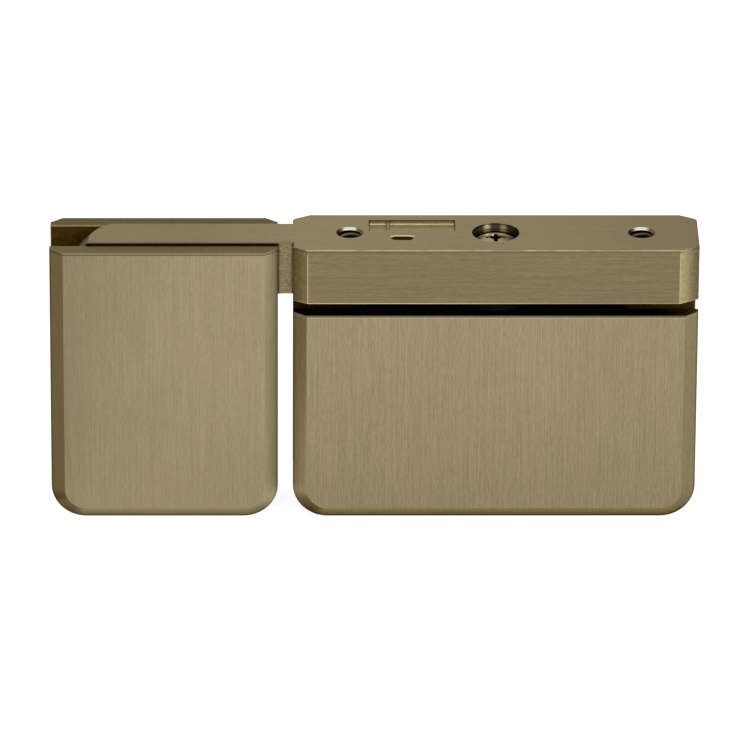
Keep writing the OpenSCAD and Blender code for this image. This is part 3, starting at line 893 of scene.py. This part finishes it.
@dataclass(frozen=True)
class ThreadBrass(SatinBrass):
    """The thread crests' brass, with painted shade that deepens down the hole."""

    def dress(self, graph: Graph) -> None:
        """Paints shade on the lower turns."""
        graph.lay(graph.fall(graph.place(Axis.Z), -2.4 * MM, -1.5 * MM), PAINTED_DEEP_SHADE)


@dataclass(frozen=True)
class SatinSteel:
    """Turned stainless steel of the pin, screws, springs and detents.

    Attributes:
        name: the material's name.
        colour: the metal's colour.
        turned_on: the axis that the turning marks go round.
        glance: how much of the gloss is left at a flat angle.
    """

    name: str
    colour: Colour = (0.55, 0.54, 0.51)
    turned_on: Axis = Axis.Z
    glance: float = 1.0

    FINE: ClassVar[float] = 4200.0
    COARSE: ClassVar[float] = 260.0
    PATCHES: ClassVar[float] = 220.0
    SPREAD: ClassVar[Span] = (0.25, 0.75)
    ROUGH: ClassVar[Span] = (0.36, 0.24)

    def build(self) -> bpy.types.Material:
        """Makes the material.

        Returns:
            The material.
        """
        graph = Graph(self.name)
        grain = graph.noise(drawn(self.COARSE, self.FINE, self.turned_on), 3.0, 4.0)
        patches = graph.swing(graph.noise(self.PATCHES, 3.0, 6.0), -0.03, 0.03)
        tone = graph.math("ADD", graph.ramp(grain, *self.SPREAD, 0.9, 1.06), patches)
        graph.colour = graph.shaded(self.colour, tone)
        graph.lay(graph.times(graph.sharp_edges(0.15 * MM, 2.0), 0.5), scaled(self.colour, 1.4))
        graph.rough = graph.ramp(grain, *self.SPREAD, *self.ROUGH)
        graph.bump(grain, 0.01 * MM, 0.3)
        return graph.finish({"Metallic": 1.0, "Specular Tint": (self.glance,) * 3})


@dataclass(frozen=True)
class Moulded:
    """A moulded plastic or rubber: nylon bushes and sleeve, black gaskets.

    Attributes:
        name: the material's name.
        colour: the material's colour.
        roughness: how matt it is.
        grain: features per metre of its skin.
        speckle: how far its tone varies.
    """

    name: str
    colour: Colour
    roughness: float
    grain: float
    speckle: float

    UNEVEN: ClassVar[float] = 0.08
    GLOSS: ClassVar[float] = 0.06
    CLOUDS: ClassVar[float] = 160.0

    def build(self) -> bpy.types.Material:
        """Makes the material.

        Returns:
            The material.
        """
        graph = Graph(self.name)
        skin = graph.noise(self.grain, 4.0, 2.0)
        half = 0.5 * self.speckle
        clouds = graph.swing(graph.noise(self.CLOUDS, 3.0, 8.0), -half, half)
        tone = graph.math("ADD", graph.swing(skin, 1.0 - self.speckle, 1.0 + self.speckle), clouds)
        rubbed = tuple(0.005 + 1.6 * part for part in self.colour)
        graph.colour = graph.shaded(self.colour, tone)
        graph.lay(graph.times(graph.sharp_edges(0.2 * MM, 1.6), 0.3), rubbed)
        graph.rough = graph.swing(skin, self.roughness - self.UNEVEN, self.roughness + self.UNEVEN)
        graph.bump(skin, 0.03 * MM, 0.4)
        return graph.finish({"Specular IOR Level": self.GLOSS})


@dataclass
class Finishes:
    """Every finish of the hinge, built once.

    Attributes:
        holes: the threaded mounting holes.
        bevel_run: how far from the plates' faces their bevels begin, in metres.
        rim_drop: how far below a clamp's top the painted line along its top edge lies.
        materials: the materials, by name.
    """

    holes: tuple[Bore, ...]
    bevel_run: float = 2.6 * MM
    rim_drop: float = 0.42 * MM
    materials: dict[str, bpy.types.Material] = field(default_factory=dict)

    def build(self) -> None:
        """Makes the materials, by the names that the sub-assemblies use."""
        inner, outer = (corner.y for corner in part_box("panel_rear_plate"))
        panel_end, panel_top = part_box("panel_front_plate")[1].x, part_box("panel_front_plate")[1].z
        arm_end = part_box("door_front_plate")[0].x
        door_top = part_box("door_rear_plate")[1].z
        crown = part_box("pivot_screw")[1].z
        bevel = (outer - self.bevel_run, outer)
        plate = {"bevel": bevel, "top_grain": Axis.Y, "edge_wear_and_highlight": 0.05, "raw_half": inner}
        # Every brass below is one satin brass: the face, left, right, foot, top and edge values are
        # painted light and shade by the way the faces point.
        made = [
            BarBrass(
                "bar_brass", face_grain=Axis.X, face=(0.66, 0.645, 0.58), left=(0.97, 0.92, 0.66),
                right=(0.80, 0.79, 0.72), foot=(0.66, 0.64, 0.53), top=(1.18, 1.22, 1.32),
                edge=(0.75, 0.74, 0.69), painted_rim_line=-0.25, rim_level=-0.45 * MM, speckle=0.12, edge_wear_and_highlight=0.8,
                raw_foot=True, threaded=self.holes, arm_end=arm_end, clamp_end=panel_end,
            ),
            SatinBrass(
                "panel_brass", depth=0.1, face=(1.05, 1.06, 1.09), left=(1.28, 1.17, 0.88),
                right=(1.32, 1.37, 1.41), foot=(0.84, 0.85, 0.82), top=(0.66, 0.65, 0.62),
                edge=(0.92, 0.91, 0.86), painted_rim_line=-0.6, rim_level=panel_top - self.rim_drop, **plate,
            ),
            # The rear plate's brass: the front plate's brass with other painted light and shade.
            SatinBrass(
                "panel_rear_shaded_brass", left=(1.25, 1.14, 0.86), right=(1.28, 1.33, 1.37),
                top=(0.50, 0.49, 0.46), edge=(0.86, 0.86, 0.80), **plate,
            ),
            # The door's tops are painted near black: painted shade in the gap under the bar.
            DoorBrass(
                "door_brass", end=-arm_end, left=(1.20, 1.19, 1.09), right=(0.90, 0.91, 0.84),
                foot=(0.90, 0.89, 0.76), top=(0.05, 0.04, 0.016), edge=(0.55, 0.55, 0.46), painted_rim_line=0.22,
                rim_level=door_top - self.rim_drop, glance=(0.45, 0.40, 0.28), **plate,
            ),
            # The thread crests are made dark: painted shade inside the holes.
            ThreadBrass("thread_brass", colour=(0.09, 0.072, 0.038)),
            ScrewBrass("screw_brass", face_grain=Axis.X, top=(1.5, 1.5, 1.5), crown=crown),
            SatinSteel("turned_steel"),
            SatinSteel("screw_steel", turned_on=Axis.Y),
            SatinSteel("detent_steel", turned_on=Axis.X),
            # Black steel and black nylon are made near black: partly their own colour, partly painted
            # shade for the pivot in the gap under the bar.
            SatinSteel("black_steel", colour=(0.004, 0.0037, 0.003), glance=0.3),
            Moulded("black_nylon", (0.004, 0.004, 0.0035), 0.6, 1500.0, 0.08),
            Moulded("black_gasket", (0.012, 0.012, 0.012), 0.75, 2400.0, 0.15),
        ]
        for finish in made:
            self.materials[finish.name] = finish.build()

    def dress(self, name: str, *nodes: str) -> None:
        """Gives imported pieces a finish.

        Args:
            name: the finish's name.
            nodes: the pieces' names.
        """
        for node in nodes:
            piece = frame["nodes"][node]
            piece.data.materials.clear()
            piece.data.materials.append(self.materials[name])
            LOG.info("%s is dressed in %s", node, name)


# ---- Sub-assemblies ----


def add_object(name: str, data: bpy.types.ID) -> bpy.types.Object:
    """Adds an object to the scene."""
    added = bpy.data.objects.new(name, data)
    bpy.context.scene.collection.objects.link(added)
    return added


def make_object(mesh: bmesh.types.BMesh, name: str, material: bpy.types.Material) -> bpy.types.Object:
    """Makes a finished bmesh an object of the scene.

    Args:
        mesh: the shape, in its place.
        name: the object's name.
        material: its finish.

    Returns:
        The new object.
    """
    data = bpy.data.meshes.new(name)
    mesh.to_mesh(data)
    mesh.free()
    data.materials.append(material)
    return add_object(name, data)


@dataclass
class MountingThread:
    """The thread crests that stand in one mounting hole of the bar.

    Attributes:
        name: the piece's name.
        hole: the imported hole.
        top: level where the thread begins.
        foot: level where it ends.
        pitch: rise of a turn.
        crest: how far a crest stands out of the bore's wall.
        sunk: how far its root lies inside the wall.
        steps: facets of a turn.
    """

    name: str
    hole: Bore
    top: float = -0.8 * MM
    foot: float = -12.7 * MM
    pitch: float = 1.0 * MM
    crest: float = 0.26 * MM
    sunk: float = 0.04 * MM
    steps: int = 40

    def build(self, material: bpy.types.Material) -> None:
        """Winds a crest's section down the hole.

        Args:
            material: the thread's finish.
        """
        turns = (self.top - self.foot) / self.pitch - 1.0
        mesh = bmesh.new()
        root = self.hole.radius + self.sunk
        tip = self.hole.radius - self.crest
        section = [
            (root, 0.42 * self.pitch), (tip, 0.06 * self.pitch),
            (tip, -0.06 * self.pitch), (root, -0.42 * self.pitch),
        ]
        level = self.top - 0.5 * self.pitch
        corners = [mesh.verts.new((self.hole.centre + r, 0.0, level + z)) for r, z in section]
        face = mesh.faces.new(corners)
        bmesh.ops.spin(
            mesh, geom=corners + list(face.edges) + [face], cent=(self.hole.centre, 0.0, 0.0),
            axis=(0.0, 0.0, 1.0), dvec=(0.0, 0.0, -self.pitch / self.steps), angle=math.tau * turns,
            steps=int(self.steps * turns), use_merge=False,
        )
        bmesh.ops.remove_doubles(mesh, verts=mesh.verts, dist=1e-7)
        bmesh.ops.recalc_face_normals(mesh, faces=mesh.faces)
        piece = make_object(mesh, self.name, material)
        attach(piece, "frame")
        LOG.info("%s has %d faces and rides on the frame", self.name, len(piece.data.polygons))


@dataclass
class Bar:
    """The mounting bar with its arm, its pivot screw and the threads in its mounting holes."""

    finishes: Finishes
    holes: tuple[Bore, ...]

    def build(self) -> None:
        """Dresses the bar's pieces and adds its threads."""
        self.finishes.dress("bar_brass", "mounting_bar")
        self.finishes.dress("screw_brass", "pivot_screw")
        self.finishes.dress("turned_steel", "lock_washer")
        brass = self.finishes.materials["thread_brass"]
        for side, hole in zip(("left", "right"), self.holes):
            MountingThread(f"mounting_thread_{side}", hole).build(brass)


@dataclass
class PanelClamp:
    """The clamp of the fixed panel, on the bar's arm."""

    finishes: Finishes

    def build(self) -> None:
        """Dresses the clamp's pieces."""
        self.finishes.dress("panel_brass", "panel_front_plate")
        self.finishes.dress("panel_rear_shaded_brass", "panel_rear_plate")
        self.finishes.dress("black_gasket", "panel_front_gasket", "panel_rear_gasket")
        self.finishes.dress("screw_steel", "arm_screws", "glass_screw")
        self.finishes.dress("black_nylon", "glass_hole_sleeve")


@dataclass
class DoorClamp:
    """The clamp of the door, which turns on the pivot pin."""

    finishes: Finishes

    def build(self) -> None:
        """Dresses the clamp's pieces."""
        self.finishes.dress("door_brass", "door_front_plate", "door_rear_plate")
        self.finishes.dress("black_gasket", "door_front_gasket", "door_rear_gasket")
        self.finishes.dress("screw_steel", "door_screws")


@dataclass
class Pivot:
    """The pin, its bushes and ring, and the two sprung detents."""

    finishes: Finishes

    def build(self) -> None:
        """Dresses the pivot's pieces."""
        self.finishes.dress("black_steel", "pivot_pin")
        self.finishes.dress("turned_steel", "retaining_ring")
        self.finishes.dress("black_nylon", "upper_bush", "lower_bush")
        for part in ("plunger", "spring", "adjuster"):
            self.finishes.dress("detent_steel", f"{part}_left", f"{part}_right")


# ---- Studio ----


def sheet(size: Span, place: Triple, turn: Triple = (0.0, 0.0, 0.0)) -> bmesh.types.BMesh:
    """Makes a flat sheet.

    Args:
        size: its length and width, in metres.
        place: its middle.
        turn: its rotation in degrees, from lying flat.

    Returns:
        Its mesh.
    """
    mesh = bmesh.new()
    turned = Euler([math.radians(angle) for angle in turn])
    stand = Matrix.LocRotScale(Vector(place), turned, Vector((*size, 1.0)))
    bmesh.ops.create_grid(mesh, x_segments=1, y_segments=1, size=0.5, matrix=stand)
    return mesh


@dataclass(frozen=True)
class SoftLamp:
    """A square lamp that points at the hinge.

    Attributes:
        name: the lamp's name.
        place: where it stands, in metres.
        side: the length of its sides.
        power: its power in watts.
    """

    name: str
    place: Triple
    side: float
    power: float

    def build(self, target: Vector) -> None:
        """Sets the lamp up.

        Args:
            target: the point that it is turned to.
        """
        data = bpy.data.lights.new(self.name, "AREA")
        data.shape = "SQUARE"
        data.size = self.side
        data.energy = self.power
        lamp = add_object(self.name, data)
        lamp.location = self.place
        lamp.rotation_euler = (target - Vector(self.place)).to_track_quat("-Z", "Y").to_euler()


@dataclass(frozen=True)
class DarkCard:
    """A dark card beside the hinge, which only its gloss sees.

    Attributes:
        name: the card's name.
        place: its middle, in metres.
        size: its length and width.
        turn: its rotation in degrees, from lying flat.
        level: its grey.
    """

    name: str
    place: Triple
    size: Span
    turn: Triple
    level: float

    def build(self) -> None:
        """Sets the card up."""
        matt = Graph(self.name, (self.level,) * 3, 0.9).finish({})
        card = make_object(sheet(self.size, self.place, self.turn), self.name, matt)
        for rays in ("camera", "diffuse", "shadow", "transmission"):
            setattr(card, f"visible_{rays}", False)
        card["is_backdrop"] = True


@dataclass
class Studio:
    """A pale floor under the hinge, a white background, soft lamps and the camera.

    Attributes:
        low: the hinge's lower corner.
        high: its upper corner.
        target: the point that the camera looks at.
        distance: how far from it the camera stands.
        elevation: how steeply the camera looks down, in degrees.
        azimuth: how far it is turned to the side.
        roll: how far it is tilted.
        focal_widths: its focal length, as a share of the picture's width.
        sensor: the width of its sensor, in millimetres.
        ambient: the background's strength as a light.
        floor_side: the floor's length and width, in metres.
        floor_gap: the space between the hinge's foot and the floor.
        floor_grey: the floor's grey.
        ahead: the floor's glow in the gloss, in front of the hinge and below it, painted lower below
            it as shade.
        across: the share of that glow on the left and on the right, painted lower on the right as
            shade.
        seen_glow: the floor's glow as the camera sees it.
        lamps: the soft lamps.
        cards: the dark cards.
    """

    low: Vector
    high: Vector
    target: Triple = (-26.311 * MM, 0.0, -34.320 * MM)
    distance: float = 2.0
    elevation: float = 24.515
    azimuth: float = -0.722
    roll: float = 0.296
    focal_widths: float = 12.0772533
    sensor: float = 36.0
    ambient: float = 0.5
    floor_side: float = 8.0
    floor_gap: float = 0.05 * MM
    floor_grey: float = 0.6
    ahead: Span = (0.80, 0.54)
    across: Span = (1.06, 0.88)
    seen_glow: float = 0.85
    lamps: tuple[SoftLamp, ...] = (
        SoftLamp("key_lamp", (0.9, -0.7, 0.5), 0.5, 7.0),
        SoftLamp("front_lamp", (-0.1, -0.9, 0.45), 0.5, 3.0),
    )
    cards: tuple[DarkCard, ...] = (
        DarkCard("left_card", (-0.399, -0.05, -0.0645), (0.6, 0.8), (0.0, 0.0, 0.0), 0.45),
        DarkCard("rear_card", (0.45, 0.45, 0.33), (0.8, 0.6), (70.0, 0.0, -30.0), 0.15),
    )

    def build_world(self) -> None:
        """Makes the white background, which lights the hinge at a plain level."""
        world = bpy.data.worlds.new("studio")
        world.use_nodes = True
        tree = world.node_tree
        tree.nodes.clear()
        output, background, path, mix = (
            tree.nodes.new(f"ShaderNode{kind}")
            for kind in ("OutputWorld", "Background", "LightPath", "Mix")
        )
        share = path.outputs["Is Camera Ray"]
        for other in ("Is Glossy Ray", "Is Transmission Ray"):
            either = tree.nodes.new("ShaderNodeMath")
            either.operation = "MAXIMUM"
            tree.links.new(share, either.inputs[0])
            tree.links.new(path.outputs[other], either.inputs[1])
            share = either.outputs[0]
        mix.data_type = "FLOAT"
        mix.inputs["A"].default_value = self.ambient
        mix.inputs["B"].default_value = 1.0
        tree.links.new(share, mix.inputs["Factor"])
        tree.links.new(mix.outputs["Result"], background.inputs["Strength"])
        tree.links.new(background.outputs["Background"], output.inputs["Surface"])
        bpy.context.scene.world = world

    def build_floor(self) -> None:
        """Lays the pale floor at the hinge's foot: white, with the hinge's shadow, and painted shade
        in its gloss.
        """
        mesh = sheet((self.floor_side,) * 2, (0.0, 0.0, self.low.z - self.floor_gap))
        graph = Graph("floor_white", (self.floor_grey,) * 3)
        # Painted shade in the floor's reflection: its glow falls off under the hinge and to the right.
        glow = graph.times(
            graph.ramp(graph.place(Axis.Y), -110 * MM, 0.0, *self.ahead),
            graph.ramp(graph.place(Axis.X), -80 * MM, 60 * MM, *self.across),
        )
        rays = graph.node("ShaderNodeLightPath").outputs
        gloss = graph.math("MAXIMUM", rays["Is Glossy Ray"], rays["Is Transmission Ray"])
        seen = graph.blend(rays["Is Camera Ray"], graph.times(gloss, glow), self.seen_glow)
        glowing = {"Specular IOR Level": 0.0, "Emission Color": WHITE, "Emission Strength": seen}
        floor = make_object(mesh, "floor", graph.finish(glowing))
        floor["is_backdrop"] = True

    def build_camera(self) -> None:
        """Sets the camera up in front of the hinge, a little above it."""
        data = bpy.data.cameras.new("camera")
        data.sensor_width = self.sensor
        data.lens = self.sensor * self.focal_widths
        data.clip_end = 50.0
        camera = add_object("camera", data)
        lift = math.radians(self.elevation)
        turn = math.radians(self.azimuth)
        level = math.cos(lift)
        back = Vector((math.sin(turn) * level, -math.cos(turn) * level, math.sin(lift)))
        tilt = Matrix.Rotation(math.radians(self.roll), 3, "Z")
        stand = (Euler((math.pi / 2 - lift, 0.0, turn)).to_matrix() @ tilt).to_4x4()
        camera.matrix_world = Matrix.Translation(Vector(self.target) + self.distance * back) @ stand
        bpy.context.scene.camera = camera

    def build(self) -> None:
        """Builds the studio and sets the plain view transform."""
        self.build_world()
        self.build_floor()
        for lamp in self.lamps:
            lamp.build((self.low + self.high) / 2)
        for card in self.cards:
            card.build()
        self.build_camera()
        bpy.context.scene.view_settings.view_transform = "Standard"
        LOG.info("the studio has %d lamps and %d cards", len(self.lamps), len(self.cards))


def mounting_holes() -> tuple[Bore, ...]:
    """Reads the threaded mounting holes of the record.

    Returns:
        The holes, from left to right.
    """
    found = [m for m in frame["record"]["mounts"] if m["kind"] == "threaded_hole"]
    places = sorted((m["pos_m"][0], m["dims"]["r_mm"] * MM) for m in found)
    return tuple(Bore(centre, radius, radius + MOUTH_RUN) for centre, radius in places)


def main() -> None:
    """Builds the looks in order: the studio, the finishes and each sub-assembly."""
    logging.basicConfig(level=logging.INFO, format="%(message)s")
    low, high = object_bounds()
    Studio(low, high).build()
    holes = mounting_holes()
    finishes = Finishes(holes)
    finishes.build()
    for part in (Bar(finishes, holes), PanelClamp(finishes), DoorClamp(finishes), Pivot(finishes)):
        part.build()


if __name__ == "__main__":
    main()
